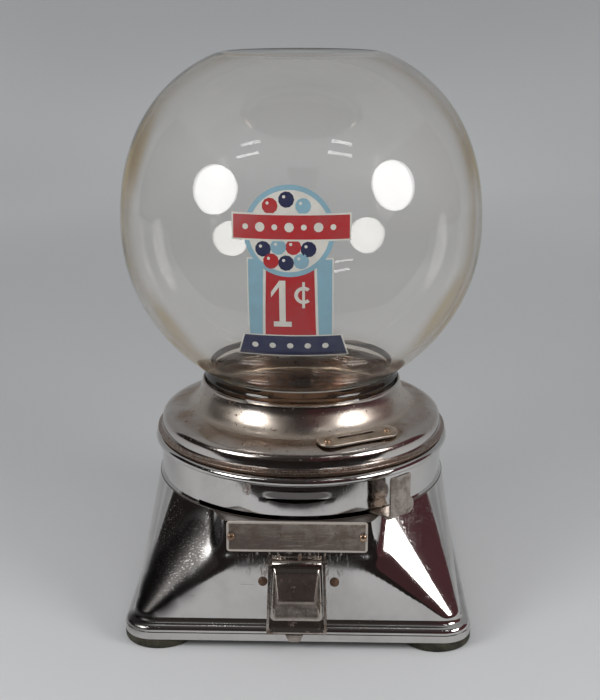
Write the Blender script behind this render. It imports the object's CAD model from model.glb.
"""Looks of the penny gumball machine: fine surfaces, worn metal, clear glass, studio light and camera.

Metres, +Z up, the customer's side faces -Y. An angle of travel is counted from -Y towards +X.
"""
import math

import bmesh
import bpy
from mathutils import Matrix, Vector

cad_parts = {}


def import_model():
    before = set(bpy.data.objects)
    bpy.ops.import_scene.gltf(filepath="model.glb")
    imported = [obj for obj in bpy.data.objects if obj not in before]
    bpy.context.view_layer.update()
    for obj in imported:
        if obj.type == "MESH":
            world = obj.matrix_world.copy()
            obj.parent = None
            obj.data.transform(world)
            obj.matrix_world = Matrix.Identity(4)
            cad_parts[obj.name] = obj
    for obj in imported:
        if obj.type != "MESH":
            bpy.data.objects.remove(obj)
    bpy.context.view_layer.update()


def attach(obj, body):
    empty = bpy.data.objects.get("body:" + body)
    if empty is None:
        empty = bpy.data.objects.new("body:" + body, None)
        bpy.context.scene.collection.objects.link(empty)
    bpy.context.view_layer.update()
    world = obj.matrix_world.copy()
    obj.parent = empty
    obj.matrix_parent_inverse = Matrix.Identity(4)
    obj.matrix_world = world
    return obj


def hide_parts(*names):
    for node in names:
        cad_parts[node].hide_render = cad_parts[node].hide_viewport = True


MM = 0.001


def mm(*values):
    """Millimetres as metres."""
    return tuple(v * MM for v in values)


FIT, SHEET = mm(0.3, 1.2)

# Base: rubber feet, foot strip (its edge as inset and drop of two rings), roll, body and band
FOOT_RADIUS, FOOT_HEIGHT, FOOT_PLACE = mm(17.8, 4.6, 68.2)
FOOT_EDGE, FOOT_WELL, FOOT_WELL_DEPTH, FOOT_HOLE = mm(0.9, 3.7, 2.7, 1.8)
SHELL_LOW, STRIP_TOP = mm(4.9, 8.9)
STRIP_EDGE = [mm(0, 0.4), mm(0.35, 0.1)]
ROLL_WIDTH, ROLL_HEIGHT, ROLL_EDGE, FILLET_HEIGHT = mm(3, 3.1, 0.15, 3.5)
BASE_HALF, BASE_CORNER, BODY_INSET = mm(85.5, 14.7, 5)
ROLL_TOP = STRIP_TOP + ROLL_HEIGHT
BODY_FOOT_Z = ROLL_TOP + FILLET_HEIGHT
BODY_FOOT_HALF = BASE_HALF - BODY_INSET
CORNER_CENTRE = BASE_HALF - BASE_CORNER
BAND_RADIUS, BAND_LOW, BAND_TOP, BASE_TOP = mm(74.1, 65.4, 81.4, 86.4)
SHOULDER_Z, SHOULDER_RADIUS = mm(64.1, 75.4)
BEAD_PROUD = 3 * MM
CORNERS = [("front_left", -1, -1), ("front_right", 1, -1), ("rear_left", -1, 1), ("rear_right", 1, 1)]

# Name plate and its flat pad
PLATE_HALF, PLATE_HEIGHT, PLATE_CORNER = 34 * MM, 15.2 * MM, 1.6
PAD_TOP = SHOULDER_Z - 0.1 * MM
PAD_HALF = PLATE_HALF + 0.5 * MM
PAD_LOW = PAD_TOP - PLATE_HEIGHT - 0.5 * MM
PAD_SLOPE = 8 * MM
PLATE_Z = PAD_TOP - PLATE_HEIGHT / 2

# Openings of the shell; the window's lower edge bows up, and a hood is pressed in above it
SLOT_LOW, SLOT_HIGH = mm(64.2625, 66.0625)
SLOT_START, SLOT_END = -41.65, 37.25
WINDOW_LOW, WINDOW_TOP, WINDOW_HALF = mm(72.4, 74.5, 15.3)
WINDOW_ANGLE = math.degrees(math.asin(WINDOW_HALF / BAND_RADIUS))
WINDOW_BOW = 0.75
HOOD_RISE, HOOD_DEPTH = 0.66 * (5.6 * MM), 1.6 * MM
HOOD_DIP, HOOD_POWER, HOOD_WIDE, HOOD_SPREAD, HOOD_FLAT, HOOD_FADE = 0.3, 1.6, 1.08, 0.12, 0.62, 0.38
MOUTH_LOW, MOUTH_HIGH, MOUTH_HALF = mm(17.2, 39.2, 10.5)
MOUTH_ANGLE = math.degrees(math.atan2(MOUTH_HALF, BODY_FOOT_HALF - 2.5 * MM))
LOCK_Z, LOCK_HOLE = mm(40, 8.4)

# Grid of the shell: its columns in degrees, its rings in metres
COLUMN_STEP, CORNER_STEP, CORNER_COLUMNS, COLUMN_GAP = 1.5, 0.7, 38, 0.4
BODY_RING_STEP, BAND_RING_STEP, RING_GAP, RING_END = mm(1.2, 0.7, 0.45, 0.3)
BEND_RINGS = [SLOT_LOW, 64.7 * MM, 65.1 * MM, BAND_LOW]
BAND_RINGS = [SLOT_HIGH, 66.8 * MM, 68.2 * MM, 69.6 * MM, 70.9 * MM, 71.7 * MM, WINDOW_LOW, WINDOW_TOP]

# Door; down its length as shares: crest's half width, bulge's height, the lip's curl
HINGE_Z, HINGE_PROUD, KNUCKLE_RADIUS, KNUCKLE_EDGE = mm(43.8, 3.3, 2.1, 0.3)
DOOR_HALF, DOOR_TAPER, DOOR_SHEET = mm(12.9, 1, 0.9)
DOOR_FOOT_Z, DOOR_LEAN, DOOR_BULGE, DOOR_LIP = 12.1 * MM, 4.8, 5.6 * MM, 2.4 * MM
DOOR_SHARES = [(0, 0.88, 0, 0), (0.05, 0.88, 0, 0), (0.075, 0.86, 0.18, 0),
               (0.485, 0.7, 1, 0), (0.525, 0.7, 0.97, 0), (0.8, 0.85, 0.06, 0),
               (0.84, 0.87, 0, 0), (0.94, 0.87, 0, 0.35), (1, 0.87, 0, 1)]
DOOR_EASE = (-0.024, -0.012, 0, 0.012, 0.024)
DOOR_BOSS_SHARE = 0.95
DOOR_ROWS, DOOR_COLUMNS, KNUCKLE_SIDES = 70, 56, 32
RIVET_X, RIVET_SHIFT, RIVET_Z = mm(17.4, 0.8, 33.5)

# Rivets: heads of the plates' and of the door frame's
DOME_SMALL, DOME_WIDE, DOME_HEIGHT, DOME_FOOT = mm(1.8, 2.3, 0.9, 0.2)
PLATE_RIVET_INSET, PLATE_RIVET_OUT, COIN_RIVET_OUT = mm(2.2, 1.2, 0.75)

# Head; its section as shares: out and up the flare of the neck, out and down the brim.
# FLARE_END makes the fillet between them wider than the solid's, as the photograph's highlights show.
HEAD_LOW, CREASE_Z, NECK_TOP = mm(88, 99.8, 114.1)
NECK_RADIUS, NECK_INNER, NECK_ROUND = mm(52, 50.7, 0.65)
CREASE_RADIUS, HEAD_RADIUS, HEAD_FLARE, HEAD_SKIRT = mm(56.3, 73.4, 2.6, 2.2)
LEDGE_LOW, LEDGE_TOP, LEDGE_INNER = mm(95.8, 97, 46.3)
FLARE_END = (0.22, 0.015)
FLARE_SHARES = [(0, 0.9), (0.08, 0.72), (0.18, 0.56), (0.32, 0.38), (0.5, 0.22), (0.74, 0.08),
                (1, 0)]
BRIM_SHARES = [FLARE_END, (0.4, 0.05), (0.62, 0.13), (0.8, 0.25), (0.92, 0.38), (0.985, 0.55),
               (1, 0.75), (1, 1)]

# Coin plate, its slot, and the opening of the head under it
COIN_ANGLE, COIN_CIRCLE, COIN_TILT, COIN_SHIFT = 27.8, 60.5 * MM, 5.9, 1.5 * MM
COIN_PLATE_HALF, COIN_PLATE_RADIUS, COIN_RIVET = mm(21.8, 6.3, 16.5)
SLOT_HALF, SLOT_WIDTH, SLOT_CORNER = mm(10.2, 2.2, 0.35)
COIN_HOLE_LOW, COIN_HOLE_CIRCLE, COIN_HOLE_HALF, COIN_HOLE_ANGLE = 94 * MM, 61 * MM, 1.5 * MM, 9.3

# Sections of the plates in millimetres: inset from the outline (grown round the slot) and height
PLATE_SECTION = [(0, 0), (0, 0.62), (0.1, 0.8), (0.34, 0.9), (0.6, 0.86), (0.84, 0.68),
                 (1.04, 0.6)]
COIN_SECTION = [(0, 0), (0, 0.66), (0.14, 0.88), (0.4, 0.98), (0.66, 0.9), (0.92, 0.68),
                (1.1, 0.62)]
COIN_SLOT_SECTION = [(0.3, 0.62), (0.08, 0.54), (0, 0.36), (0, 0)]

# Catch on the foot strip in millimetres: outline and its middle, then how far it grows and stands out
CATCH_OUTLINE = [(-5.2, 8.7), (3, 8.7), (1.4, 5.4), (0.6, 5.1), (-2.8, 5.1), (-3.6, 5.4)]
CATCH_MIDDLE = (-1.1, 6.9)
CATCH_SECTION = [(0.3, 0), (0.3, 0.8), (0, 1.1)]

# Globe, just inside the flats of the solid's.
# In millimetres: radius and dip of its cap, height and rise of a turn of its thread.
GLOBE_RADIUS, GLOBE_Z, GLOBE_RISE = mm(91.25, 194.1, 85.9)
GLOBE_TOP_RADIUS, GLOBE_LOWER_AXIS = mm(40, 88.96)
GLOBE_UPPER_POWER, GLOBE_LOWER_POWER = 2.3, 1.96
GLOBE_LOW, GLOBE_NECK, GLASS = mm(100.2, 49.7, 3)
GLOBE_CAP = [(0, 0.7), (20, 0.7), (34, 0.5), (38, 0)]
THREAD = [(118.2, 0), (117.2, 0.5), (116.3, 0.8), (115.4, 0.5), (114.4, 0.05)]
THREAD_TURNS = (0, 4, 8)
THREAD_FOOT = 102 * MM

# Badge painted on the globe, a plain design of its own; its gumballs' places and sizes in millimetres
BADGE_X, BADGE_Z, BADGE_RADIUS = mm(-2.9, 207.7, 20)
PAINT_THICK, PAINT_STEP = mm(0.012, 0.018)
GUMS = [("red", -9.2, 11.2), ("navy", -1.4, 14), ("pale", 6.6, 11.2), ("navy", -12.4, -7.8),
        ("pale", -5.2, -6.8), ("red", 2, -6.8), ("navy", 9.2, -7.8), ("red", -8.6, -13.2),
        ("navy", -1.4, -14), ("pale", 5.8, -13.2)]
GUM_SPREAD_X, GUM_SPREAD_Z, GUM_SIZE, SHINE_SIZE = 0.92, 0.98, 3.5, 0.7
SHINE_X, SHINE_Z = -1.1, 1.2
PAINTS = {"white": (0.62, 0.6, 0.54), "pale": (0.22, 0.38, 0.46),
          "red": (0.4, 0.018, 0.022), "navy": (0.018, 0.022, 0.07)}

# Worn places: centre, whole within, none beyond, and how each axis is squashed
PLATE_RUST = ((0, -0.082, 0.045), 0.006, 0.026, (0.8, 1, 1.6))
BAND_NOTCH = ((-0.0245, -0.0699, 0.0785), 0.0006, 0.0024, (0.8, 1, 0.5))
WINDOW_HOOD = ((0.0, -0.0739, 0.0765), 0.005, 0.0068, (0.36, 0.5, 2.2))
LEFT_CONE = [((-0.052, -0.068, 0.053), 0.007, 0.018), ((-0.057, -0.07, 0.045), 0.009, 0.022),
             ((-0.063, -0.072, 0.037), 0.01, 0.023), ((-0.07, -0.075, 0.027), 0.009, 0.018),
             ((-0.077, -0.078, 0.017), 0.006, 0.013),
             ((-0.0395, -0.0725, 0.057), 0.0036, 0.007, (1, 1, 0.5))]
AMBER_EDGES = [((-0.083, -0.012, GLOBE_Z + 0.036), 0.018, 0.036),
               ((0.08, -0.012, GLOBE_Z - 0.047), 0.016, 0.034),
               ((0.083, -0.012, GLOBE_Z + 0.034), 0.01, 0.028),
               ((-0.074, -0.012, GLOBE_Z - 0.054), 0.008, 0.028)]

# Limits of worn zones, from none to whole: heights, and for a band on to where it fades and is gone.
# DOOR_WORN_HALF counts from the door's middle, PLATE_BORDER from the plate's edge.
LEDGE_DIRT = mm(63.8, 63.98, 64.25, 64.5)
CONE_SCRATCHES = (0.014, 0.044)
CREASE_HAZE, NECK_SATIN = (0.0955, 0.0995, 0.1, 0.106), (0.099, 0.101, 0.108, 0.1118)
NECK_HAZE, BRIM_HAZE = (0.1, 0.105), (0.0905, 0.095)
SEAM_HAZE, SEAM_RUST = (0.0905, 0.0885), (0.0904, 0.0896)
DOOR_WORN, DOOR_DARK = mm(17.6, 20.5, 40, 42), mm(28.8, 27.6)
DOOR_WORN_HALF, PLATE_BORDER = mm(11.6, 9.4), mm(1.3, 0.9)
GLASS_THICK = (0.126, 0.116)

# Camera, solved from the round and square sections of the photographed machine
CAMERA_PLACE = mm(15.55, -593.8, 304.5)
CAMERA_PITCH, CAMERA_YAW, CAMERA_LENS = 16.61, 1.5, 60.576
CAMERA_SHIFT = -1.2 / 700

# Lamps, as seen from the middle of the globe: azimuth from -Y towards +X, elevation.
# Tubes overhead: elevation, place along X, length.
LAMP_DISTANCE, LAMP_WIDE, LAMP_HIGH, LAMP_POWER = 0.7, 0.35, 0.3, 2
LAMPS = [("left", -51.4, 16.2), ("right", 59, 17.6)]
TUBES = [("low_left", 44, -0.62, 0.32), ("low_right", 44, 0.46, 0.3),
         ("high_left", 52, -0.56, 0.26), ("high_right", 52, 0.46, 0.24)]
TUBE_DISTANCE, TUBE_WIDTH, TUBE_POWER = 1.1, 0.018, 0.14

# Stage in metres: the paper's flat part and sweep, and the dim room that only shiny surfaces see
PAPER_HALF, PAPER_FRONT, PAPER_BACK, SWEEP, PAPER_TOP = 4, -3, 1.3, 0.9, 3
ROOM_HALF, ROOM_FRONT, ROOM_TOP, ROOM_SPLIT, CEILING_BACK = 2.5, -2, 2.2, 0.25, -0.35
SIDE_X, SIDE_BACK, SIDE_TOP = 1.9, 0.9, 1.5
FLOOR_FRONT, FLOOR_BACK, FLOOR_MIDDLE, FLOOR_Z = -2.9, -0.16, -0.226, 0.001
FLOOR_CURVE, FLOOR_CELL = 1.25, 0.03
DARK, MAROON = (0.016, 0.013, 0.012), (0.085, 0.034, 0.038)


# Meshes

def on_circle(radius, degrees, height=0):
    """A point at an angle of travel, counted from -Y towards +X."""
    angle = math.radians(degrees)
    return Vector((radius * math.sin(angle), -radius * math.cos(angle), height))


def smooth_step(share):
    """Eases from 0 to 1."""
    share = min(max(share, 0), 1)
    return share * share * (3 - 2 * share)


def quarter_turn(steps):
    """Angles of a quarter turn in even steps, without the first."""
    return [math.radians(90 * i / steps) for i in range(1, steps + 1)]


def neighbours(count, ring=True):
    """Each place with the next one; a ring's last place meets its first."""
    return [(i, (i + 1) % count) for i in range(count if ring else count - 1)]


def make_object(name, mesh, look, sharp=35):
    """Turns a bmesh in world coordinates into a smooth object."""
    bmesh.ops.recalc_face_normals(mesh, faces=mesh.faces)
    data = bpy.data.meshes.new(name)
    mesh.to_mesh(data)
    mesh.free()
    data.materials.append(look)
    data.shade_smooth()
    data.set_sharp_from_angle(angle=math.radians(sharp))
    item = bpy.data.objects.new(name, data)
    bpy.context.scene.collection.objects.link(item)
    return item


def dress(item, body, nodes=()):
    """Hangs a piece on its body, and names the nodes it stands for and its finish."""
    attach(item, body)
    if nodes:
        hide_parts(*nodes)


def curve_through(points, steps):
    """A smooth line through points (Catmull-Rom)."""
    points = [Vector(point) for point in points]
    line = []
    for i, (p1, p2) in enumerate(zip(points, points[1:])):
        p0 = points[i - 1] if i > 0 else p1 - (p2 - p1)
        p3 = points[i + 2] if i + 2 < len(points) else p2 + (p2 - p1)
        for step in range(steps):
            t = step / steps
            line.append(0.5 * (2 * p1 + (p2 - p0) * t + (2 * p0 - 5 * p1 + 4 * p2 - p3) * t * t
                               + (3 * p1 - p0 - 3 * p2 + p3) * t ** 3))
    return [tuple(point) for point in line + points[-1:]]


def lathe(profile, sides, centre=(0, 0), closed=True, skip=None):
    """Turns a profile of (radius, height) pairs about a vertical line, without the faces to skip."""
    mesh = bmesh.new()
    columns = []
    for i in range(sides):
        sine, cosine = math.sin(math.tau * i / sides), math.cos(math.tau * i / sides)
        columns.append([mesh.verts.new((centre[0] + r * sine, centre[1] - r * cosine, z))
                        for r, z in profile])
    for i, j in neighbours(sides):
        for k, m in neighbours(len(profile), closed):
            radius, height = [(a + b) / 2 for a, b in zip(profile[k], profile[m])]
            if skip is None or not skip(360 * (i + 0.5) / sides, radius, height):
                mesh.faces.new((columns[i][k], columns[i][m], columns[j][m], columns[j][k]))
    bmesh.ops.remove_doubles(mesh, verts=mesh.verts, dist=1e-7)
    bmesh.ops.dissolve_degenerate(mesh, edges=mesh.edges, dist=1e-7)
    return mesh


def bridge(mesh, low, high, ring=True):
    """Faces between two rows of corners; a ring's rows close on themselves."""
    for i, j in neighbours(len(low), ring):
        mesh.faces.new((low[i], low[j], high[j], high[i]))


def join_loops(mesh, loops, looped=False, caps=False):
    """Joins loops of points of one length into a skin; looped ones close on themselves."""
    rows = [[mesh.verts.new(point) for point in loop] for loop in loops]
    for k, m in neighbours(len(rows), looped):
        bridge(mesh, rows[k], rows[m])
    if caps:
        mesh.faces.new(rows[0][::-1])
        mesh.faces.new(rows[-1])
    return mesh


def grid_rim(grid):
    """The outer places of a grid, one way round."""
    return grid[0] + [row[-1] for row in grid[1:]] + grid[-1][-2::-1] + [row[0] for row in grid[-2:0:-1]]


def add_sheet(mesh, front, back, ring=False):
    """Closes two grids of points into a thin sheet; a ring's rows close on themselves."""
    near, far = [[[mesh.verts.new(point) for point in row] for row in grid] for grid in (front, back)]
    for grid in (near, far):
        for low, high in zip(grid, grid[1:]):
            bridge(mesh, low, high, ring)
    rims = [(near[0], far[0]), (near[-1], far[-1])] if ring else [(grid_rim(near), grid_rim(far))]
    for first, second in rims:
        for i, j in neighbours(len(first)):
            mesh.faces.new((first[i], second[i], second[j], first[j]))
    return mesh


def rounded(half_x, half_y, radius, height, steps=7):
    """Loop of a rounded rectangle at a height of its own frame."""
    points = []
    for turn, x, y in ((0, 1, 1), (90, -1, 1), (180, -1, -1), (270, 1, -1)):
        for i in range(steps + 1):
            angle = math.radians(turn + 90 * i / steps)
            points.append(Vector((x * (half_x - radius) + radius * math.cos(angle),
                                  y * (half_y - radius) + radius * math.sin(angle), height)))
    return points


def turned(mesh, matrix):
    """Moves a bmesh by a matrix and hands it back."""
    bmesh.ops.transform(mesh, matrix=matrix, verts=mesh.verts)
    return mesh


def axes_matrix(along, up, normal, place):
    """Matrix of a place's own axes."""
    return Matrix([(along[i], up[i], normal[i], place[i]) for i in range(3)] + [(0, 0, 0, 1)])


# Materials

def shade(color, factor, lift=0):
    """A lighter or darker tone of a colour."""
    return tuple(min(1, c * factor + lift) for c in color)


class Look:
    """A Principled material with short calls for its nodes; a pair of values stands for their product."""

    def __init__(self, name, color, roughness, metallic=0, **sockets):
        self.material = bpy.data.materials.new(name)
        self.material.use_nodes = True
        self.tree = self.material.node_tree
        self.shader = self.tree.nodes["Principled BSDF"]
        self.place = self.node("ShaderNodeTexCoord").outputs["Object"]
        self.use(Base_Color=(*color, 1), Roughness=roughness, Metallic=metallic, **sockets)

    def node(self, kind, inputs=None, **settings):
        """Adds a node with its settings and inputs."""
        made = self.tree.nodes.new(kind)
        for key, value in settings.items():
            setattr(made, key, value)
        self.feed(made, inputs or {})
        return made

    def feed(self, node, inputs):
        """Links or sets a node's inputs, by name or number."""
        for key, value in inputs.items():
            if isinstance(value, bpy.types.NodeSocket):
                self.tree.links.new(value, node.inputs[key])
            else:
                node.inputs[key].default_value = value

    def use(self, **inputs):
        """Feeds the shader and hands back the material."""
        self.feed(self.shader, {key.replace("_", " "): value for key, value in inputs.items()})
        return self.material

    def mapped(self, **inputs):
        """The object's own coordinates, moved, turned or scaled."""
        return self.node("ShaderNodeMapping", {"Vector": self.place, **inputs}).outputs["Vector"]

    def axis(self, letter):
        """One of the object's own coordinates."""
        return self.node("ShaderNodeSeparateXYZ", {"Vector": self.place}).outputs[letter]

    def noise(self, size, detail=4, roughness=0.55, distortion=0, vector=None):
        """Cloudy noise whose clouds are about this many metres across."""
        inputs = {"Vector": vector if vector is not None else self.place, "Scale": 1 / size,
                  "Detail": detail, "Roughness": roughness, "Distortion": distortion}
        return self.node("ShaderNodeTexNoise", inputs).outputs["Fac"]

    def streaks(self, size, stretch, turn=(0, 0, 0), detail=2):
        """Noise drawn out along one axis: scratches and grain."""
        scale = [1, 1, 1]
        scale[stretch[0]] = 1 / stretch[1]
        vector = self.mapped(Scale=scale, Rotation=[math.radians(v) for v in turn])
        return self.noise(size, detail, 0.6, vector=vector)

    def span(self, value, low, high, start, end, kind="LINEAR"):
        """Maps a value's range onto another one."""
        inputs = {"Value": value, "From Min": low, "From Max": high, "To Min": start, "To Max": end}
        return self.node("ShaderNodeMapRange", inputs, interpolation_type=kind).outputs["Result"]

    def step(self, value, low, high):
        """Maps a value between two limits to 0 to 1, smoothly."""
        return self.span(value, low, high, 0, 1, "SMOOTHSTEP")

    def band(self, value, low, whole_low, whole_high, high):
        """1 inside a range of a value and 0 beyond it, smoothly."""
        return self.times(self.step(value, low, whole_low), self.step(value, high, whole_high))

    def near(self, centre, low, high, squash=(1, 1, 1)):
        """1 near a point and 0 beyond, by distance in metres."""
        vector = self.mapped(Scale=squash, Location=[-c * s for c, s in zip(centre, squash)])
        length = self.node("ShaderNodeVectorMath", {0: vector}, operation="LENGTH")
        return self.step(length.outputs["Value"], high, low)

    def nearest(self, spots):
        """1 near any of the spots and 0 beyond them."""
        return self.most(*[self.near(*spot) for spot in spots])

    def combine(self, operation, first, second=0, clamp=False):
        """A value made from two."""
        values = [self.combine("MULTIPLY", *v) if isinstance(v, tuple) else v for v in (first, second)]
        made = self.node("ShaderNodeMath", dict(enumerate(values)), operation=operation, use_clamp=clamp)
        return made.outputs["Value"]

    def fold(self, operation, values, clamp=False):
        """Combines values one after another; only the last result is clamped."""
        total = values[0]
        for i, value in enumerate(values[1:], 2):
            total = self.combine(operation, total, value, clamp and i == len(values))
        return total

    def plus(self, *values, clamp=False):
        """Sum of values."""
        return self.fold("ADD", values, clamp)

    def minus(self, first, second):
        """Difference of two values."""
        return self.combine("SUBTRACT", first, second)

    def times(self, *values, clamp=False):
        """Product of values."""
        return self.fold("MULTIPLY", values, clamp)

    def most(self, *values):
        """The largest of the values."""
        return self.fold("MAXIMUM", values)

    def size(self, value):
        """A value without its sign."""
        return self.combine("ABSOLUTE", value)

    def blend(self, share, first, second):
        """Mixes two colours."""
        first, second = [c if isinstance(c, bpy.types.NodeSocket) else (*c, 1) for c in (first, second)]
        if isinstance(share, tuple):
            share = self.times(*share)
        inputs = {"Factor": share, "A": first, "B": second}
        return self.node("ShaderNodeMix", inputs, data_type="RGBA").outputs["Result"]

    def coats(self, color, *coats):
        """Lays colours over a first one, each by its own share."""
        for share, coat in coats:
            color = self.blend(share, color, coat)
        return color

    def bump(self, height, distance, normal=None):
        """A normal that follows a height."""
        inputs = {"Height": height, "Distance": distance}
        if normal is not None:
            inputs["Normal"] = normal
        return self.node("ShaderNodeBump", inputs).outputs["Normal"]


def chrome_look():
    """Polished chrome of the base: scratches, smears, rust freckles, dull zones and a dirty ledge."""
    look = Look("worn_chrome", (0.7, 0.69, 0.68), 0.1, 1)
    height = look.axis("Z")
    smear = look.noise(0.03, 5, 0.6)
    fine = look.noise(0.0035, 3, 0.6)
    upright = look.step(look.streaks(0.0006, (2, 26)), 0.6, 0.72)
    slanted = look.step(look.streaks(0.0007, (0, 30), (12, 20, 35)), 0.72, 0.8)
    scratches = look.most((upright, look.step(smear, 0.45, 0.62)), slanted)
    drips = look.step(look.streaks(0.0024, (2, 3.2), detail=4), 0.56, 0.66)
    freckles = look.times(drips, look.near(*PLATE_RUST))
    notch = look.times(look.near(*BAND_NOTCH), look.step(look.noise(0.0016, 3, 0.7), 0.4, 0.56))
    rust = look.most(freckles, notch)
    cone = look.nearest(LEFT_CONE)
    arcs = look.step(look.streaks(0.0006, (0, 12), (20, 40, 10)), 0.56, 0.66)
    arcs = look.times(arcs, look.step(height, *CONE_SCRATCHES))
    ledge = look.band(height, *LEDGE_DIRT)
    color = look.coats((0.7, 0.685, 0.67),
                       (look.step(smear, 0.35, 0.75), (0.55, 0.53, 0.51)),
                       (freckles, (0.17, 0.085, 0.045)),
                       ((cone, 0.97), look.blend(arcs, (0.021, 0.019, 0.018), (0.15, 0.14, 0.135))),
                       (notch, (0.14, 0.07, 0.04)),
                       ((look.near(*WINDOW_HOOD), 0.9), (0.1, 0.09, 0.085)),
                       (ledge, (0.04, 0.028, 0.021)))
    rough = look.plus(look.span(smear, 0.3, 0.8, 0.05, 0.12), (cone, 0.2), (ledge, 0.4),
                      (scratches, 0.12), (rust, 0.45), clamp=True)
    metal = look.times(look.span(rust, 0, 1, 1, 0.25), look.minus(1, ledge))
    dents = look.bump(look.noise(0.034, 2, 0.4), 0.0001)
    grain = look.bump(look.plus(scratches, (fine, 0.25)), 0.00002, dents)
    return look.use(Base_Color=color, Roughness=rough, Metallic=metal, Normal=grain)


def head_look():
    """Plated head: brown haze at the neck and the crease, pits round it, speckles at the seam."""
    look = Look("tarnished_chrome", (0.64, 0.62, 0.6), 0.12, 1)
    height = look.axis("Z")
    cloud = look.noise(0.02, 5, 0.55, distortion=0.5)
    fine = look.noise(0.002, 4, 0.65)
    grit = look.noise(0.0008, 3, 0.7)
    amount = look.most((look.step(height, *NECK_HAZE), 0.42), (look.band(height, *CREASE_HAZE), 0.72),
                       (look.step(height, *BRIM_HAZE), 0.3), (look.step(height, *SEAM_HAZE), 0.42))
    haze = look.times(amount, look.span(cloud, 0.32, 0.66, 0.55, 1.45), clamp=True)
    satin = look.times(look.band(height, *NECK_SATIN), look.span(cloud, 0.3, 0.6, 0.6, 1), clamp=True)
    speckle = look.times(look.step(height, *SEAM_RUST), look.span(grit, 0.42, 0.58, 0.25, 0.9))
    pits = look.times(look.step(look.plus(fine, (cloud, 0.25)), 0.745, 0.8), look.step(amount, 0.18, 0.4))
    color = look.coats((0.64, 0.62, 0.6), (haze, (0.34, 0.225, 0.155)), (satin, (0.62, 0.54, 0.46)),
                       (speckle, (0.2, 0.105, 0.06)), (pits, (0.1, 0.05, 0.03)))
    rough = look.plus(look.span(haze, 0, 1, 0.1, 0.27), (pits, 0.3), (speckle, 0.2), (satin, 0.17),
                      clamp=True)
    dents = look.bump(look.noise(0.026, 2, 0.4), 0.0001)
    grain = look.bump(look.plus(fine, (haze, 0.3)), 0.00002, dents)
    return look.use(Base_Color=color, Roughness=rough, Metallic=look.span(pits, 0, 1, 1, 0.3),
                    Normal=grain)


def nickel_look(name, base, dark, rough=(0.2, 0.42), scale=1):
    """Scratched nickel plate worn down to the brown metal."""
    look = Look(name, base, rough[0], 1)
    cloud = look.noise(0.007 * scale, 6, 0.65, distortion=0.4)
    scratch = look.most(look.step(look.streaks(0.0007 * scale, (2, 20), (0, 15, 0)), 0.58, 0.68),
                        look.step(look.streaks(0.0006 * scale, (0, 24), (0, 30, 20)), 0.6, 0.7))
    worn = look.step(cloud, 0.42, 0.66)
    color = look.coats(base, (worn, dark), ((scratch, 0.55), shade(base, 1.25)))
    grain = look.bump(look.plus(scratch, look.noise(0.0012 * scale, 4, 0.7)), 0.00002)
    return look.use(Base_Color=color, Roughness=look.span(worn, 0, 1, *rough), Normal=grain)


def steel_look(name, base, roughness, rust_share=0.35):
    """Plain steel with a grey-brown bloom and some rust."""
    look = Look(name, base, roughness, 1)
    cloud = look.noise(0.009, 6, 0.65)
    fine = look.noise(0.0014, 4, 0.7)
    drop = rust_share * 0.4
    rust = look.step(look.plus(cloud, (fine, 0.25)), 0.86 - drop, 0.98 - drop)
    color = look.coats(base, (look.step(cloud, 0.3, 0.7), shade(base, 0.72)), (rust, (0.15, 0.065, 0.03)))
    rough = look.plus(look.span(fine, 0.3, 0.7, roughness - 0.07, roughness + 0.1), (rust, 0.3), clamp=True)
    return look.use(Base_Color=color, Roughness=rough, Metallic=look.span(rust, 0, 1, 1, 0.3),
                    Normal=look.bump(look.plus(fine, rust), 0.00004))


def rust_look():
    """Rusted rivet heads."""
    look = Look("rusted_steel", (0.17, 0.09, 0.05), 0.62, 0.45)
    cloud = look.noise(0.0011, 5, 0.7)
    color = look.blend(look.step(cloud, 0.35, 0.65), (0.07, 0.04, 0.028), (0.2, 0.115, 0.07))
    return look.use(Base_Color=color, Normal=look.bump(cloud, 0.00012))


def matt_look(name, color, roughness, tones, clouds, grain, rough, depth, **sockets):
    """Rubber or paint: clouds of two tones (size, limits) and a fine grain (noise, depth)."""
    look = Look(name, color, roughness, **sockets)
    size, low, high = clouds
    fine = look.noise(*grain)
    tone = look.blend(look.step(look.noise(size, 5, 0.6), low, high), *tones)
    return look.use(Base_Color=tone, Roughness=look.span(fine, 0.3, 0.7, *rough),
                    Normal=look.bump(fine, depth))


def rubber_look():
    """Old black-brown rubber with dust in its pores."""
    tones = (0.02, 0.019, 0.012), (0.06, 0.055, 0.035)
    return matt_look("foot_rubber", (0.03, 0.028, 0.018), 0.72, tones, (0.006, 0.35, 0.7),
                     (0.0009, 4, 0.7), (0.6, 0.85), 0.00008, Specular_IOR_Level=0.35)


def paint_look(name, color, roughness=0.45):
    """Plain paint, or cork."""
    return matt_look(name, color, roughness, (color, shade(color, 1.5, 0.01)), (0.012, 0.3, 0.7),
                     (0.0012, 3, 0.6), (roughness - 0.08, roughness + 0.12), 0.00004)


def decal_look(name, color):
    """Old paint on glass, slightly faded."""
    return matt_look(name, color, 0.38, (color, shade(color, 0.8, 0.03)), (0.009, 0.3, 0.75),
                     (0.001, 4, 0.7), (0.3, 0.5), 0.00002)


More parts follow.
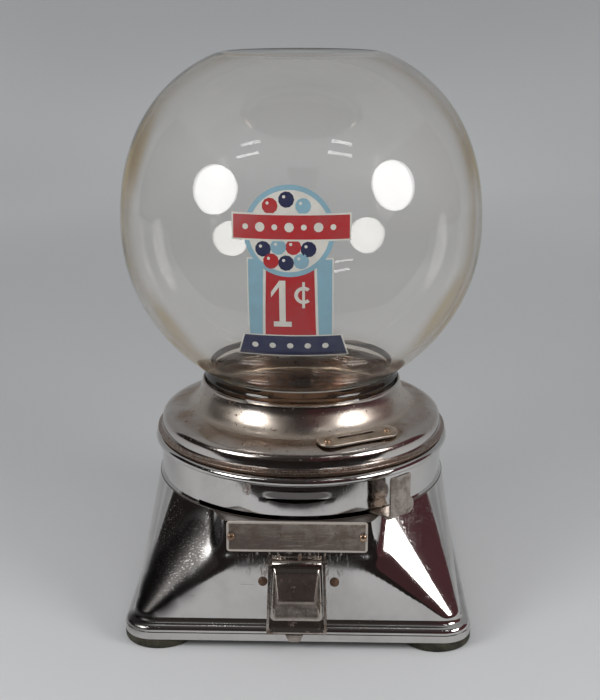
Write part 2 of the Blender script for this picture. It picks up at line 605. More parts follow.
def glass_look():
    """Clear blown glass, warm where it is thick, with amber edges at its sides."""
    look = Look("clear_glass", (1, 1, 1), 0, 0, IOR=1.5, Transmission_Weight=0.99)
    facing = look.node("ShaderNodeLayerWeight", {"Blend": 0.5}).outputs["Facing"]
    cloud = look.span(look.noise(0.07, 1, 0.4), 0.4, 0.6, 0.35, 1.3)
    rim = look.times(look.step(facing, 0.6, 0.92), cloud, clamp=True)
    rim = look.most(rim, (look.step(look.axis("Z"), *GLASS_THICK), 0.36))
    edges = look.times(look.nearest(AMBER_EDGES), look.step(facing, 0.42, 0.7))
    tint = look.coats((1, 1, 1), (rim, (0.5, 0.33, 0.13)), (edges, (0.46, 0.25, 0.03)))
    volume = look.node("ShaderNodeVolumeAbsorption", {"Color": (0.93, 0.8, 0.6, 1), "Density": 24})
    look.feed(look.tree.nodes["Material Output"], {"Volume": volume.outputs["Volume"]})
    return look.use(Base_Color=tint, Normal=look.bump(look.noise(0.045, 2, 0.4), 0.00025))


def plate_look():
    """Bare plate: worn grey-brown field with rust, paler raised border."""
    look = Look("plate_nickel", (0.5, 0.44, 0.39), 0.3, 1)
    across, height = look.size(look.axis("X")), look.size(look.minus(look.axis("Z"), PLATE_Z))
    border = look.most(*[look.step(value, half - PLATE_BORDER[0], half - PLATE_BORDER[1])
                         for value, half in ((across, PLATE_HALF), (height, PLATE_HEIGHT / 2))])
    fine = look.noise(0.0009, 4, 0.7)
    scratch = look.step(look.streaks(0.0006, (0, 26), (0, 14, 0)), 0.58, 0.68)
    worn = look.step(look.noise(0.006, 6, 0.65, distortion=0.5), 0.36, 0.66)
    rust = look.step(look.plus(look.noise(0.0042, 5, 0.7), (fine, 0.2)), 0.72, 0.8)
    color = look.coats((0.46, 0.4, 0.355), (worn, (0.27, 0.215, 0.18)),
                       ((scratch, 0.4), (0.52, 0.46, 0.41)), (rust, (0.085, 0.042, 0.024)),
                       (border, (0.6, 0.54, 0.49)))
    rough = look.plus(look.span(worn, 0, 1, 0.38, 0.52), (border, 0.08))
    metal = look.minus(1, look.most((border, 0.45), (rust, 0.7)))
    grain = look.bump(look.plus(scratch, look.plus(fine, (rust, 0.8))), 0.00004)
    return look.use(Base_Color=color, Roughness=rough, Metallic=metal, Normal=grain)


def door_look():
    """Pressed door: its bulge worn to brown, darker below its crest, brighter round it and on the lip."""
    look = Look("door_plate", (0.5, 0.45, 0.41), 0.22, 1)
    height = look.axis("Z")
    cloud = look.noise(0.006, 6, 0.62, distortion=0.5)
    fine = look.noise(0.001, 4, 0.7)
    scratch = look.step(look.streaks(0.0007, (2, 24), (0, 20, 0)), 0.58, 0.68)
    bulge = look.times(look.step(look.size(look.axis("X")), *DOOR_WORN_HALF), look.band(height, *DOOR_WORN))
    worn = look.times(bulge, look.span(cloud, 0.3, 0.6, 0.55, 1), clamp=True)
    lower = look.times(worn, look.step(height, *DOOR_DARK))
    rust = look.step(look.plus(look.noise(0.004, 5, 0.7), (fine, 0.2)), 0.7, 0.8)
    color = look.coats((0.52, 0.475, 0.43), (worn, (0.29, 0.245, 0.215)),
                       ((lower, 0.7), (0.06, 0.048, 0.04)), ((scratch, 0.22), (0.62, 0.57, 0.52)),
                       (rust, (0.12, 0.06, 0.035)))
    rough = look.plus(look.span(worn, 0, 1, 0.15, 0.34), (rust, 0.25), clamp=True)
    grain = look.bump(look.plus(scratch, fine), 0.00001, look.bump(cloud, 0.00006))
    return look.use(Base_Color=color, Roughness=rough, Metallic=look.span(rust, 0, 1, 1, 0.3),
                    Normal=grain)


# Base shell

def body_share(height):
    """How far down the body a height lies: 0 at the shoulder, 1 at the body's foot."""
    return (SHOULDER_Z - height) / (SHOULDER_Z - BODY_FOOT_Z)


def body_half(height):
    """Half width of the square-to-round body at a height."""
    return SHOULDER_RADIUS + (BODY_FOOT_HALF - SHOULDER_RADIUS) * body_share(height)


def body_corner(height):
    """Corner radius of the body at a height."""
    return SHOULDER_RADIUS + (BODY_FOOT_HALF - CORNER_CENTRE - SHOULDER_RADIUS) * body_share(height)


def outline_point(half, corner, degrees):
    """Where a ray from the axis meets a rounded square, as (along the side, out); within 45 degrees."""
    flat = half - corner
    angle = math.radians(abs(degrees))
    sign = -1 if degrees < 0 else 1
    along = half * math.tan(angle)
    if along <= flat:
        return sign * along, half
    reach = flat * (math.sin(angle) + math.cos(angle))
    length = reach + math.sqrt(max(reach * reach - 2 * flat * flat + corner * corner, 0))
    return sign * length * math.sin(angle), length * math.cos(angle)


def shell_columns():
    """Azimuths of the columns of one side, -45 up to 45 degrees, closer together near its corners."""
    marks = [MOUTH_ANGLE, -MOUTH_ANGLE, WINDOW_ANGLE, -WINDOW_ANGLE, SLOT_START, SLOT_END]
    columns = [i * COLUMN_STEP for i in range(-25, 26)]
    columns += [side * (CORNER_COLUMNS + i * CORNER_STEP) for i in range(11) for side in (-1, 1)]
    columns = [c for c in columns if abs(c) <= 45 and all(abs(c - m) > COLUMN_GAP for m in marks)]
    return sorted(set(round(c, 4) for c in columns + marks if c < 44.99))


def shell_levels():
    """Rings of the shell from below: (height, half width, corner radius, pad weight)."""

    def square(inset, height):
        return height, BASE_HALF - inset, BASE_CORNER - inset, 0

    def circle(radius, height):
        return height, radius, radius, 0

    levels = [square(0, SHELL_LOW)]
    levels += [square(inset, STRIP_TOP - drop) for inset, drop in STRIP_EDGE]
    levels += [square(ROLL_WIDTH * (1 - math.cos(a)) + ROLL_EDGE * math.cos(a),
                      STRIP_TOP + ROLL_HEIGHT * math.sin(a)) for a in quarter_turn(8)]
    levels += [square(ROLL_WIDTH + (BODY_INSET - ROLL_WIDTH) * math.sin(a),
                      ROLL_TOP + FILLET_HEIGHT * (1 - math.cos(a))) for a in quarter_turn(8)]
    marks = [MOUTH_LOW, MOUTH_HIGH, PAD_LOW, PAD_TOP, SHOULDER_Z]
    foot = PAD_LOW - PAD_SLOPE * 1.2
    fill = [BODY_FOOT_Z + BODY_RING_STEP * i for i in range(1, 41)]
    fill = [z for z in fill if z < PAD_TOP - RING_END and all(abs(z - m) > RING_GAP for m in marks)]
    for z in sorted(set(fill + marks)):
        weight = 0 if z >= SHOULDER_Z else smooth_step((z - foot) / (PAD_LOW - foot))
        levels.append((z, body_half(z), body_corner(z), weight))
    levels += [circle(SHOULDER_RADIUS - (z - SHOULDER_Z), z) for z in BEND_RINGS]
    levels += [circle(BAND_RADIUS, z) for z in BAND_RINGS]
    z = WINDOW_TOP + RING_GAP
    while z < BAND_TOP - RING_END:
        levels.append(circle(BAND_RADIUS, z))
        z += BAND_RING_STEP
    rise = (BASE_TOP - BAND_TOP) / 2
    for i in range(13):
        angle = math.radians(-90 + 180 * i / 12)
        radius = BAND_RADIUS + BEAD_PROUD * max(math.cos(angle), 0)
        levels.append(circle(radius, BAND_TOP + rise + rise * math.sin(angle)))
    return levels


def shell_point(level, column, front):
    """A point of the shell on one side's axes; the front has the plate's pad and the pressed window."""
    height, half, corner, pad = level
    along, out = outline_point(half, corner, column)
    if not front:
        return Vector((along, -out, height))
    if pad:
        ease = smooth_step((abs(along) - PAD_HALF) / PAD_SLOPE)
        flat_out = half * (1 - ease) + out * ease
        out += (flat_out - out) * pad
    if abs(height - WINDOW_LOW) < 1e-6:
        share = min(abs(along) / WINDOW_HALF, 1)
        height += (WINDOW_TOP - WINDOW_LOW) * WINDOW_BOW * share * share
    climb = (height - WINDOW_TOP) / HOOD_RISE
    if -1e-4 <= climb < 1 and half == BAND_RADIUS:
        share = abs(along) / (WINDOW_HALF * (HOOD_WIDE + HOOD_SPREAD * climb))
        fade = 1 - smooth_step((share - HOOD_FLAT) / HOOD_FADE)
        out -= HOOD_DIP * HOOD_DEPTH * (1 - climb) ** HOOD_POWER * fade
    return Vector((along, -out, height))


def shell_open(quarter, middle, z):
    """Whether one of the shell's openings lies at an azimuth and height of a side."""
    if quarter == 2:
        return math.hypot(body_half(z) * math.tan(math.radians(middle)), z - LOCK_Z) < LOCK_HOLE
    return quarter == 0 and (SLOT_LOW < z < SLOT_HIGH and SLOT_START < middle < SLOT_END
                             or WINDOW_LOW < z < WINDOW_TOP and abs(middle) < WINDOW_ANGLE
                             or MOUTH_LOW < z < MOUTH_HIGH and abs(middle) < MOUTH_ANGLE)


def make_shell(look):
    """Base shell on a fine grid, with its slot, window, chute mouth and lock hole."""
    levels, columns = shell_levels(), shell_columns()
    keys = [(quarter, column) for quarter in range(4) for column in columns]
    turns = [Matrix.Rotation(math.radians(90) * quarter, 3, "Z") for quarter in range(4)]
    mesh = bmesh.new()
    rows = [[mesh.verts.new(turns[quarter] @ shell_point(level, column, quarter == 0))
             for quarter, column in keys] for level in levels]
    for k, (low, high) in enumerate(zip(rows, rows[1:])):
        z = (levels[k][0] + levels[k + 1][0]) / 2
        for i, j in neighbours(len(keys)):
            quarter, column = keys[i]
            end = keys[j][1] if keys[j][0] == quarter else 45
            if not shell_open(quarter, (column + end) / 2, z):
                mesh.faces.new((low[i], low[j], high[j], high[i]))
    item = make_object("shell_skin", mesh, look)
    wall = item.modifiers.new("wall", "SOLIDIFY")
    wall.thickness = SHEET
    wall.offset = -1
    wall.use_even_offset = True
    skin = item.data
    item.data = bpy.data.meshes.new_from_object(item.evaluated_get(bpy.context.evaluated_depsgraph_get()))
    item.modifiers.clear()
    bpy.data.meshes.remove(skin)
    item.data.shade_smooth()
    item.data.set_sharp_from_angle(angle=math.radians(38))
    dress(item, "housing", ["base_shell"])


# Head, globe, feet

def head_profile():
    """Section of the pressed head, from inside the neck's lip over it, down to the seam and back inside."""
    brim, drop = HEAD_RADIUS - CREASE_RADIUS, CREASE_Z - HEAD_LOW - HEAD_SKIRT
    reach, low = CREASE_RADIUS + brim * FLARE_END[0], CREASE_Z - drop * FLARE_END[1]
    height, edge = NECK_TOP - low, HEAD_RADIUS + HEAD_FLARE
    neck = [(NECK_INNER, LEDGE_TOP), (NECK_INNER, NECK_TOP - NECK_ROUND),
            (NECK_INNER + NECK_ROUND, NECK_TOP), (NECK_RADIUS, NECK_TOP - NECK_ROUND),
            (NECK_RADIUS, low + height * FLARE_SHARES[0][1])]
    flare = [(NECK_RADIUS + (reach - NECK_RADIUS) * out, low + height * up) for out, up in FLARE_SHARES]
    top = [(CREASE_RADIUS + brim * out, CREASE_Z - drop * down) for out, down in BRIM_SHARES]
    foot = [(HEAD_RADIUS, HEAD_LOW + HEAD_SKIRT),
            (HEAD_RADIUS + HEAD_FLARE * 0.35, HEAD_LOW + HEAD_SKIRT / 2),
            (edge - 0.15 * MM, HEAD_LOW + HEAD_SKIRT / 4), (edge, HEAD_LOW)]
    outer = curve_through(neck[:2], 4)
    for points, steps in ((neck[1:4], 5), (neck[3:], 4), (flare, 5), (top, 5), (foot, 4)):
        outer += curve_through(points, steps)[1:]
    inner = [(CREASE_RADIUS + brim * out - SHEET * smooth_step((out - 0.5) * 2),
              CREASE_Z - drop * down - SHEET * (1 - smooth_step((down - 0.3) * 2)))
             for out, down in reversed(BRIM_SHARES[1:-1])]
    return (outer + [(edge - SHEET, HEAD_LOW), (HEAD_RADIUS - SHEET, HEAD_LOW + HEAD_SKIRT)]
            + curve_through(inner, 3)
            + [(NECK_RADIUS, CREASE_Z - SHEET), (NECK_RADIUS, LEDGE_LOW), (LEDGE_INNER, LEDGE_LOW),
               (LEDGE_INNER, LEDGE_TOP)])


def in_coin_hole(degrees, radius, height):
    """Whether a place of the head lies in its opening under the coin plate."""
    return (height > COIN_HOLE_LOW and abs(radius - COIN_HOLE_CIRCLE) < COIN_HOLE_HALF
            and abs(degrees - COIN_ANGLE) < COIN_HOLE_ANGLE)


def make_head(look):
    """Pressed head."""
    mesh = lathe(head_profile(), 192, skip=in_coin_hole)
    dress(make_object("head_skin", mesh, look), "housing", ["top_head"])


def globe_radius_at(height):
    """Radius of the globe's outer surface at a height."""
    power, reach = GLOBE_LOWER_POWER, GLOBE_LOWER_AXIS
    if height >= GLOBE_Z:
        power = GLOBE_UPPER_POWER
        start = math.acos((GLOBE_TOP_RADIUS / GLOBE_RADIUS) ** (power / 2))
        reach = GLOBE_RISE / math.sin(start) ** (2 / power)
    share = min(abs(height - GLOBE_Z) / reach, 1)
    return max(GLOBE_RADIUS * (1 - share ** power) ** (1 / power), GLOBE_NECK)


def globe_side(inset, steps):
    """One face of the globe's wall from the rim of its flat top down to its open neck."""
    radius, rise = GLOBE_RADIUS - inset, GLOBE_RISE - inset
    upper, lower = 2 / GLOBE_UPPER_POWER, 2 / GLOBE_LOWER_POWER
    start = math.acos((GLOBE_TOP_RADIUS / radius) ** (1 / upper))
    end = math.acos(((GLOBE_NECK - inset) / radius) ** (1 / lower))
    height = rise / math.sin(start) ** upper
    points = []
    for i in range(steps):
        angle = start * (1 - i / steps)
        points.append((radius * math.cos(angle) ** upper, GLOBE_Z + height * math.sin(angle) ** upper))
    for i in range(steps + 1):
        angle = end * i / steps
        points.append((radius * math.cos(angle) ** lower,
                       GLOBE_Z - (GLOBE_LOWER_AXIS - inset) * math.sin(angle) ** lower))
    return points


def make_globe(look):
    """Blown globe: flat top with a soft rim, full shoulder, threaded neck, open foot."""
    top = GLOBE_Z + GLOBE_RISE
    inner_top = top - GLASS - 0.4 * MM
    cap = [(radius * MM, top - dip * MM) for radius, dip in GLOBE_CAP]
    thread = [(GLOBE_NECK + out * MM, (z - low) * MM) for low in THREAD_TURNS for z, out in THREAD]
    foot = [(GLOBE_NECK, THREAD_FOOT), (GLOBE_NECK, GLOBE_LOW + 0.4 * MM),
            (GLOBE_NECK - 0.5 * MM, GLOBE_LOW), (GLOBE_NECK - GLASS, GLOBE_LOW)]
    profile = curve_through(cap, 6) + globe_side(0, 46)[1:] + curve_through(thread, 2)[1:] + foot
    profile += globe_side(GLASS, 40)[::-1] + [(20 * MM, inner_top), (0, inner_top)]
    mesh = lathe(profile, 160, closed=False)
    dress(make_object("globe_glass", mesh, look, 60), "globe", ["globe"])


def make_feet(look):
    """Round rubber feet with a well for the screw."""
    inset, rim = FOOT_RADIUS - FOOT_EDGE, FOOT_RADIUS - FOOT_EDGE * 0.3
    profile = [(FOOT_RADIUS - 2 * MM, FOOT_HEIGHT), (inset, FOOT_HEIGHT),
               (rim, FOOT_HEIGHT - FOOT_EDGE * 0.3), (FOOT_RADIUS, FOOT_HEIGHT - FOOT_EDGE),
               (FOOT_RADIUS, FOOT_EDGE), (rim, FOOT_EDGE * 0.3), (inset, 0), (FOOT_WELL, 0),
               (FOOT_WELL, FOOT_WELL_DEPTH), (FOOT_HOLE, FOOT_WELL_DEPTH), (FOOT_HOLE, FOOT_HEIGHT)]
    for word, x, y in CORNERS:
        mesh = lathe(profile, 72, (x * FOOT_PLACE, y * FOOT_PLACE))
        dress(make_object(f"rubber_foot_{word}", mesh, look, 50), "housing", [f"foot_{word}"])


# Small pieces of the front

def face_slope():
    """Angle of the body's flat faces from upright."""
    return math.atan2(BODY_FOOT_HALF - SHOULDER_RADIUS, SHOULDER_Z - BODY_FOOT_Z)


def front_frame(height, out=0):
    """Matrix of the front face's own axes at a height: X along, Y up the face, Z out of it."""
    slope = face_slope()
    up = Vector((0, math.sin(slope), math.cos(slope)))
    normal = Vector((0, -math.cos(slope), math.sin(slope)))
    return axes_matrix((1, 0, 0), up, normal, Vector((0, -body_half(height), height)) + normal * out)


def coin_frame():
    """Matrix of the coin plate's own axes: X along the slot, Y outwards and down, Z out of the brim."""
    radial, up = on_circle(1, COIN_ANGLE), Vector((0, 0, 1))
    tilt = math.radians(COIN_TILT)
    out = radial * math.cos(tilt) - up * math.sin(tilt)
    normal = radial * math.sin(tilt) + up * math.cos(tilt)
    place = on_circle(COIN_CIRCLE + COIN_SHIFT, COIN_ANGLE, CREASE_Z - 0.05 * MM)
    return axes_matrix(out.cross(normal), out, normal, place)


def make_name_plate(look):
    """Bare plate with a raised round border."""
    loops = [rounded(PLATE_HALF - inset * MM, PLATE_HEIGHT / 2 - inset * MM, (PLATE_CORNER - inset) * MM,
                     out * MM) for inset, out in PLATE_SECTION]
    mesh = turned(join_loops(bmesh.new(), loops, caps=True), front_frame(PLATE_Z, FIT))
    dress(make_object("plate_face", mesh, look), "housing", ["name_plate"])


def make_coin_plate(look):
    """Coin plate: round-ended, with a raised border and its slot."""
    steps = 9
    loops = [rounded(COIN_PLATE_HALF - inset * MM, COIN_PLATE_RADIUS - inset * MM,
                     COIN_PLATE_RADIUS - (inset + 0.001) * MM, out * MM, steps)
             for inset, out in COIN_SECTION]
    for grow, out in COIN_SLOT_SECTION:
        loop = rounded(SLOT_HALF + grow * MM, SLOT_WIDTH / 2 + grow * MM, SLOT_CORNER, out * MM, steps)
        loops.append([point - Vector((0, COIN_SHIFT, 0)) for point in loop])
    mesh = turned(join_loops(bmesh.new(), loops, looped=True), coin_frame())
    dress(make_object("coin_face", mesh, look), "housing", ["coin_plate"])


def make_rivets(nickel, rust):
    """Round heads of the plate's, the coin plate's and the door frame's rivets."""
    plate, coin, face = front_frame(PLATE_Z, FIT), coin_frame(), front_frame(RIVET_Z)
    for word, side in (("left", -1), ("right", 1)):
        for kind, frame, x, out, radius, look, slot in (
                ("plate", plate, side * (PLATE_HALF - PLATE_RIVET_INSET), PLATE_RIVET_OUT, DOME_SMALL,
                 nickel, "worn_nickel"),
                ("coin", coin, side * COIN_RIVET, COIN_RIVET_OUT, DOME_SMALL, nickel, "worn_nickel"),
                ("frame", face, side * RIVET_X + RIVET_SHIFT, FIT, DOME_WIDE, rust, "rusty_steel")):
            profile = [(0, -DOME_FOOT), (radius * 0.98, -DOME_FOOT), (radius, 0)]
            profile += [(radius * math.cos(a), DOME_HEIGHT * math.sin(a)) for a in quarter_turn(8)]
            mesh = turned(lathe(profile, 40), frame @ Matrix.Translation((x, 0, out)))
            item = make_object(f"{kind}_head_{word}", mesh, look, 60)
            dress(item, "housing", [f"{kind}_rivet_{word}"])


def door_values(along):
    """Crest, bulge and curl of the door at a share of its length, eased over a small span."""
    total = [0, 0, 0]
    for offset in DOOR_EASE:
        share = min(max(along + offset, 0), 1)
        low, high = next(pair for pair in zip(DOOR_SHARES, DOOR_SHARES[1:]) if share <= pair[1][0])
        part = (share - low[0]) / (high[0] - low[0])
        total = [t + (a + (b - a) * part) / len(DOOR_EASE) for t, a, b in zip(total, low[1:], high[1:])]
    return total


def make_door(look):
    """Door: a pressed sheet with a wedge-shaped bulge, a curled lip and its knuckle."""
    tilt = face_slope() + math.radians(DOOR_LEAN)
    down = Vector((0, -math.sin(tilt), -math.cos(tilt)))
    out = Vector((0, -math.cos(tilt), math.sin(tilt)))
    hinge = Vector((0, -body_half(HINGE_Z) - HINGE_PROUD, HINGE_Z))
    length = (HINGE_Z - DOOR_FOOT_Z) / math.cos(tilt)
    front, back = [], []
    for i in range(DOOR_ROWS + 1):
        along = i / DOOR_ROWS
        crest_share, bulge_share, curl_share = door_values(along)
        wide = DOOR_HALF - DOOR_TAPER * (1 - along)
        foot, crest = wide * DOOR_BOSS_SHARE, wide * crest_share
        near, far = [], []
        for k in range(DOOR_COLUMNS + 1):
            x = wide * (2 * k / DOOR_COLUMNS - 1)
            climb = min(max((foot - abs(x)) / (foot - crest), 0), 1)
            height = DOOR_BULGE * bulge_share * (0.45 * climb + 0.55 * smooth_step(climb))
            lift = DOOR_LIP * curl_share + height + KNUCKLE_RADIUS
            place = hinge + Vector((x, 0, 0)) + down * (length * along)
            near.append(place + out * lift)
            far.append(place + out * (lift - DOOR_SHEET))
        front.append(near)
        back.append(far)
    mesh = add_sheet(bmesh.new(), front, back)
    half, edge = DOOR_HALF - DOOR_TAPER, KNUCKLE_EDGE
    turns = [math.tau * i / KNUCKLE_SIDES for i in range(KNUCKLE_SIDES)]
    loops = []
    for x, radius in ((-half, KNUCKLE_RADIUS - edge), (-half + edge, KNUCKLE_RADIUS),
                      (half - edge, KNUCKLE_RADIUS), (half, KNUCKLE_RADIUS - edge)):
        loops.append([hinge + Vector((x, radius * math.cos(a), radius * math.sin(a))) for a in turns])
    join_loops(mesh, loops, caps=True)
    dress(make_object("door_flap", mesh, look, 50), "door", ["chute_door"])


def make_catch(look):
    """Small catch on the foot strip under the door."""
    middle_x, middle_z = CATCH_MIDDLE
    loops = [[Vector(((x + math.copysign(grow, x - middle_x)) * MM, -BASE_HALF - out * MM,
                      (z + math.copysign(grow * 0.5, z - middle_z)) * MM)) for x, z in CATCH_OUTLINE]
             for grow, out in CATCH_SECTION]
    mesh = join_loops(bmesh.new(), loops, caps=True)
    dress(make_object("strip_catch", mesh, look), "housing")


# Painted badge

def paint_patch(mesh, rows, layer, ring=False):
    """Adds a patch of paint on the globe's front, from rows of (x, z) places."""

    def lay(lift):
        return [[Vector((x, -math.sqrt((globe_radius_at(z) + lift) ** 2 - x * x), z)) for x, z in row]
                for row in rows]

    lift = PAINT_STEP * layer + PAINT_THICK / 4
    add_sheet(mesh, lay(lift + PAINT_THICK), lay(lift), ring)


def quad_rows(corners, cell=2.5 * MM):
    """Grid of places over a four-cornered area: lower left, lower right, upper right, upper left."""
    a, b, c, d = [Vector(corner) for corner in corners]
    across = max(2, math.ceil(max((b - a).length, (c - d).length) / cell))
    up = max(2, math.ceil(max((d - a).length, (c - b).length) / cell))
    rows = []
    for i in range(up + 1):
        left, right = a.lerp(d, i / up), b.lerp(c, i / up)
        rows.append([tuple(left.lerp(right, k / across)) for k in range(across + 1)])
    return rows


def round_rows(x, z, inner, outer, start=0, end=360, cell=2 * MM):
    """Grid of places over a disc, a ring or a part of one."""
    steps = max(10, math.ceil(math.radians(end - start) * outer / cell))
    count = max(1, math.ceil((outer - inner) / cell))
    turns = [math.radians(start + (end - start) * i / steps) for i in range(steps + (end - start < 360))]
    return [[(x + r * math.cos(a), z + r * math.sin(a)) for a in turns]
            for r in [inner + (outer - inner) * k / count for k in range(count + 1)]]


def make_badge():
    """Badge of plain discs, a ribbon, a panel with the price and a foot bar."""
    meshes = {word: bmesh.new() for word in PAINTS}
    x, z = BADGE_X, BADGE_Z

    def disc(word, x, z, radius, layer):
        paint_patch(meshes[word], round_rows(x, z, 0.02 * MM, radius), layer, True)

    def area(word, layer, *corners):
        paint_patch(meshes[word], quad_rows([(x * MM, z * MM) for x, z in corners]), layer)

    def box(word, layer, left, low, right, high):
        area(word, layer, (left, low), (right, low), (right, high), (left, high))

    box("white", 0, -21.6, 148.6, 16.6, 196)
    area("pale", 1, (-21, 149.2), (-15.4, 149.2), (-14.2, 195.4), (-21, 195.4))
    area("pale", 1, (10.4, 149.2), (16, 149.2), (16, 195.4), (9.2, 195.4))
    area("red", 1, (-14.2, 149.2), (9.2, 149.2), (8, 195.4), (-13, 195.4))
    disc("pale", x, z, BADGE_RADIUS, 2)
    disc("white", x, z, BADGE_RADIUS - 2.2 * MM, 3)
    for word, dx, dz in GUMS:
        disc(word, x + dx * MM * GUM_SPREAD_X, z + dz * MM * GUM_SPREAD_Z, GUM_SIZE * MM, 4)
        disc("white", x + (dx * GUM_SPREAD_X + SHINE_X) * MM, z + (dz * GUM_SPREAD_Z + SHINE_Z) * MM,
             SHINE_SIZE * MM, 5)
    # Ribbon with dots
    box("white", 5, -28.2, 203.6, 24.2, 215.6)
    box("red", 6, -27.5, 204.4, 23.5, 214.8)
    for i in range(7):
        disc("white", x + (i - 3) * 6.4 * MM, 209.6 * MM, (2.1 if i % 2 else 1.3) * MM, 7)
    # The price: a one with its flag and foot, and the cent's ring and stroke
    box("white", 3, -7.4, 166, -4.6, 186)
    area("white", 3, (-11, 180.6), (-11, 178), (-7.3, 183.2), (-7.3, 186))
    box("white", 3, -10, 163.6, -2, 166.2)
    ring = round_rows(*mm(3.4, 179.2, 2.5, 4.1), 48, 312, 1 * MM)
    paint_patch(meshes["white"], ring, 3)
    box("white", 4, 2.8, 173, 4, 185.4)
    # Foot bar with dots
    area("white", 3, (-27.2, 147.4), (23.8, 147.4), (20.6, 159.2), (-24, 159.2))
    area("navy", 4, (-26.4, 148), (23, 148), (20, 158.6), (-23.4, 158.6))
    for i in range(5):
        disc("white", x + (i - 2) * 8 * MM, 153.3 * MM, 1.5 * MM, 5)
    for word, mesh in meshes.items():
        dress(make_object(f"badge_{word}", mesh, decal_look(f"paint_{word}", PAINTS[word]), 60), "globe")


# Stage

def make_floor():
    """Pale paper floor that sweeps up behind the machine, with a faint glow there."""
    look = Look("stage_paper", (0.69, 0.694, 0.7), 0.9, Specular_IOR_Level=0.1,
                Emission_Color=(0.96, 1, 1.01, 1))
    glow = look.span(look.axis("Y"), 0.25, 1.35, 0, 0.12)
    glow = look.most(look.minus(glow, (look.step(look.axis("Z"), 0.02, 0.34), 0.08)), 0)
    cloud = look.span(look.noise(0.9, 1, 0.4), 0.35, 0.65, 0.75, 1.2)
    points = [(PAPER_FRONT, 0), (PAPER_BACK, 0)]
    points += [(PAPER_BACK + SWEEP * math.sin(a), SWEEP * (1 - math.cos(a))) for a in quarter_turn(12)]
    points.append((PAPER_BACK + SWEEP, PAPER_TOP))
    mesh = bmesh.new()
    rows = [[mesh.verts.new((x, y, z)) for x in (-PAPER_HALF, PAPER_HALF)] for y, z in points]
    for low, high in zip(rows, rows[1:]):
        bridge(mesh, low, high, ring=False)
    make_object("floor_sweep", mesh, look.use(Emission_Strength=look.times(glow, cloud)), 60)


def make_card(name, corners, color):
    """A glowing panel that only shiny surfaces see."""
    look = bpy.data.materials.new(f"{name}_tone")
    look.use_nodes = True
    look.node_tree.nodes.clear()
    light = look.node_tree.nodes.new("ShaderNodeEmission")
    light.inputs["Color"].default_value = (*color, 1)
    output = look.node_tree.nodes.new("ShaderNodeOutputMaterial")
    look.node_tree.links.new(light.outputs[0], output.inputs["Surface"])
    mesh = bmesh.new()
    mesh.faces.new([mesh.verts.new(point) for point in corners])
    item = make_object(name, mesh, look)
    for ray in ("camera", "diffuse", "transmission", "shadow", "volume_scatter"):
        setattr(item, f"visible_{ray}", False)


def make_cards():
    """Dim room: dark floor in front with a curved edge, dark walls and ceiling."""

    def wall(first, second, top):
        return [(*first, 0), (*second, 0), (*second, top), (*first, top)]

    def level(height, *places):
        return [(x, y, height) for x, y in places]

    half, front = ROOM_HALF, ROOM_FRONT
    edge = [FLOOR_CELL * i for i in range(12, -13, -1)]
    edge = [(x, min(FLOOR_MIDDLE + FLOOR_CURVE * x ** 2, FLOOR_BACK)) for x in edge]
    floor = level(FLOOR_Z, (-half, FLOOR_BACK), (-half, FLOOR_FRONT), (half, FLOOR_FRONT),
                  (half, FLOOR_BACK), *edge)
    ceiling = level(ROOM_TOP, (-half, front), (half, front), (half, CEILING_BACK), (-half, CEILING_BACK))
    make_card("room_floor", floor, DARK)
    make_card("room_front", wall((-half, front), (ROOM_SPLIT, front), ROOM_TOP), (0.035, 0.03, 0.028))
    make_card("room_corner", wall((ROOM_SPLIT, front), (half, front), ROOM_TOP), (0.06, 0.026, 0.028))
    make_card("room_top", ceiling, (0.06, 0.056, 0.054))
    make_card("room_right", wall((SIDE_X, front), (SIDE_X, SIDE_BACK), SIDE_TOP), MAROON)
    make_card("room_left", wall((-SIDE_X, front), (-SIDE_X, SIDE_BACK), SIDE_TOP), DARK)


def add_lamp(name, shape, sizes, power, away):
    """An area lamp at a distance from the globe's middle, turned towards it."""
    data = bpy.data.lights.new(name, "AREA")
    data.shape = shape
    data.size, data.size_y = sizes
    data.energy = power
    lamp = bpy.data.objects.new(name, data)
    bpy.context.scene.collection.objects.link(lamp)
    centre = Vector((0, 0, GLOBE_Z))
    lamp.location = centre + away
    lamp.rotation_euler = (centre - lamp.location).to_track_quat("-Z", "Y").to_euler()
    return lamp


def make_lamps():
    """Two oval soft boxes in front at the sides, and thin tubes overhead."""
    for word, azimuth, elevation in LAMPS:
        lift = math.radians(elevation)
        away = on_circle(LAMP_DISTANCE * math.cos(lift), azimuth, LAMP_DISTANCE * math.sin(lift))
        add_lamp(f"lamp_{word}", "ELLIPSE", (LAMP_WIDE, LAMP_HIGH), LAMP_POWER, away)
    for word, elevation, aside, long in TUBES:
        lift = math.radians(elevation)
        away = Vector((0, -TUBE_DISTANCE * math.cos(lift), TUBE_DISTANCE * math.sin(lift)))
        add_lamp(f"tube_{word}", "RECTANGLE", (long, TUBE_WIDTH), TUBE_POWER, away).location.x = aside


def make_world():
    """Even pale light from all round."""
    world = bpy.data.worlds.new("studio")
    bpy.context.scene.world = world
    world.use_nodes = True
    world.node_tree.nodes["Background"].inputs["Color"].default_value = (0.36, 0.365, 0.37, 1)


def make_camera():
    """Camera at the photograph's place."""
    data = bpy.data.cameras.new("camera")
    data.lens = CAMERA_LENS
    data.shift_x = CAMERA_SHIFT
    data.clip_start = 0.01
    camera = bpy.data.objects.new("camera", data)
    camera.location = CAMERA_PLACE
    camera.rotation_euler = (math.radians(90 - CAMERA_PITCH), 0, math.radians(CAMERA_YAW))
    bpy.context.scene.collection.objects.link(camera)
    bpy.context.scene.camera = camera


# Nodes carried over from the frame

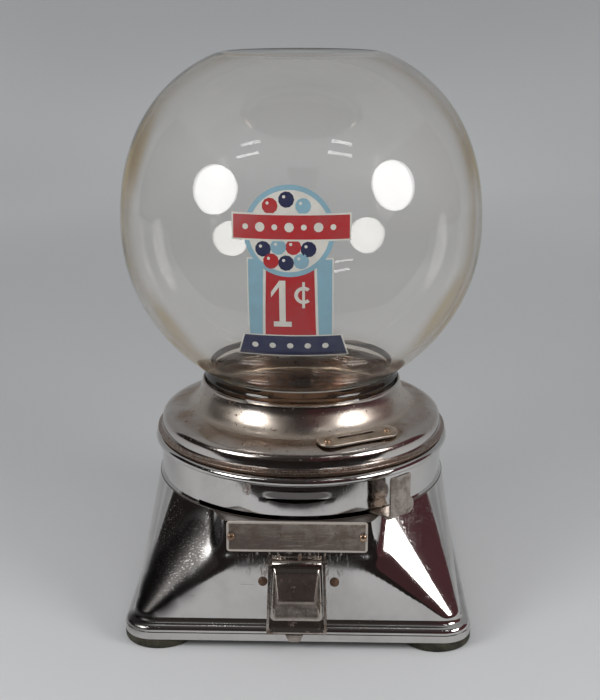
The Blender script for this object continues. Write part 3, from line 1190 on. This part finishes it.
def paint_nodes(chrome, lever):
    """Gives the carried-over nodes their materials."""
    steel_names = ["gum_chute", "coin_cradle", "return_spring", "centre_post", "drive_ring",
                   "detent_spring", "lock_nut", "lock_cam", "lock_hook", "lower_post_nut", "upper_post_nut"]
    steel_names += [f"foot_{kind}_{corner[0]}" for kind in ("nut", "screw") for corner in CORNERS]
    for look, names in (
            (nickel_look("frame_nickel", (0.46, 0.41, 0.37), (0.22, 0.16, 0.125)),
             ["door_frame", "hinge_pin"]),
            (chrome, ["lock_barrel"]),
            (lever, ["lever_arm"]),
            (steel_look("pan_steel", (0.16, 0.115, 0.09), 0.5, 0.5), ["mech_pan"]),
            (steel_look("copper_wash", (0.4, 0.23, 0.14), 0.34, 0.5),
             ["gum_wheel", "outlet_hood", "hopper_funnel", "coin_guide"]),
            (steel_look("turned_brass", (0.62, 0.46, 0.2), 0.28, 0.1),
             ["lever_bush", "lever_washer", "wheel_hub", "lock_plug"]),
            (paint_look("black_paint", (0.035, 0.034, 0.034)), ["bottom_plate"]),
            (paint_look("gasket_cork", (0.2, 0.12, 0.065), 0.8), ["globe_gasket"]),
            (steel_look("bare_steel", (0.42, 0.41, 0.4), 0.38), steel_names)):
        for name in names:
            for slot in bpy.data.objects[name].material_slots:
                slot.material = look


def soften(name, width):
    """Rounds a carried-over node's edges a little."""
    step = bpy.data.objects[name].modifiers.new("edges", "BEVEL")
    step.width = width
    step.segments = 2
    step.limit_method = "ANGLE"
    step.angle_limit = math.radians(30)
    step.harden_normals = True


def main():
    """Builds the scene."""
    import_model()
    bpy.context.scene.view_settings.view_transform = "Standard"
    chrome = chrome_look()
    lever = nickel_look("scratched_nickel", (0.45, 0.4, 0.36), (0.24, 0.195, 0.165), (0.22, 0.38), 1.2)

    make_shell(chrome)
    make_head(head_look())
    make_globe(glass_look())
    make_feet(rubber_look())
    make_name_plate(plate_look())
    make_coin_plate(nickel_look("coin_nickel", (0.66, 0.58, 0.5), (0.5, 0.42, 0.35), (0.3, 0.42), 0.8))
    copper = nickel_look("rivet_copper", (0.56, 0.4, 0.28), (0.3, 0.19, 0.13), (0.25, 0.4), 0.6)
    make_rivets(copper, rust_look())
    make_door(door_look())
    make_catch(lever)
    make_badge()

    paint_nodes(chrome, lever)
    for name, width in (("lever_arm", 0.38 * MM), ("door_frame", 0.3 * MM), ("coin_cradle", 0.2 * MM)):
        soften(name, width)

    make_floor()
    make_cards()
    make_lamps()
    make_world()
    make_camera()


main()
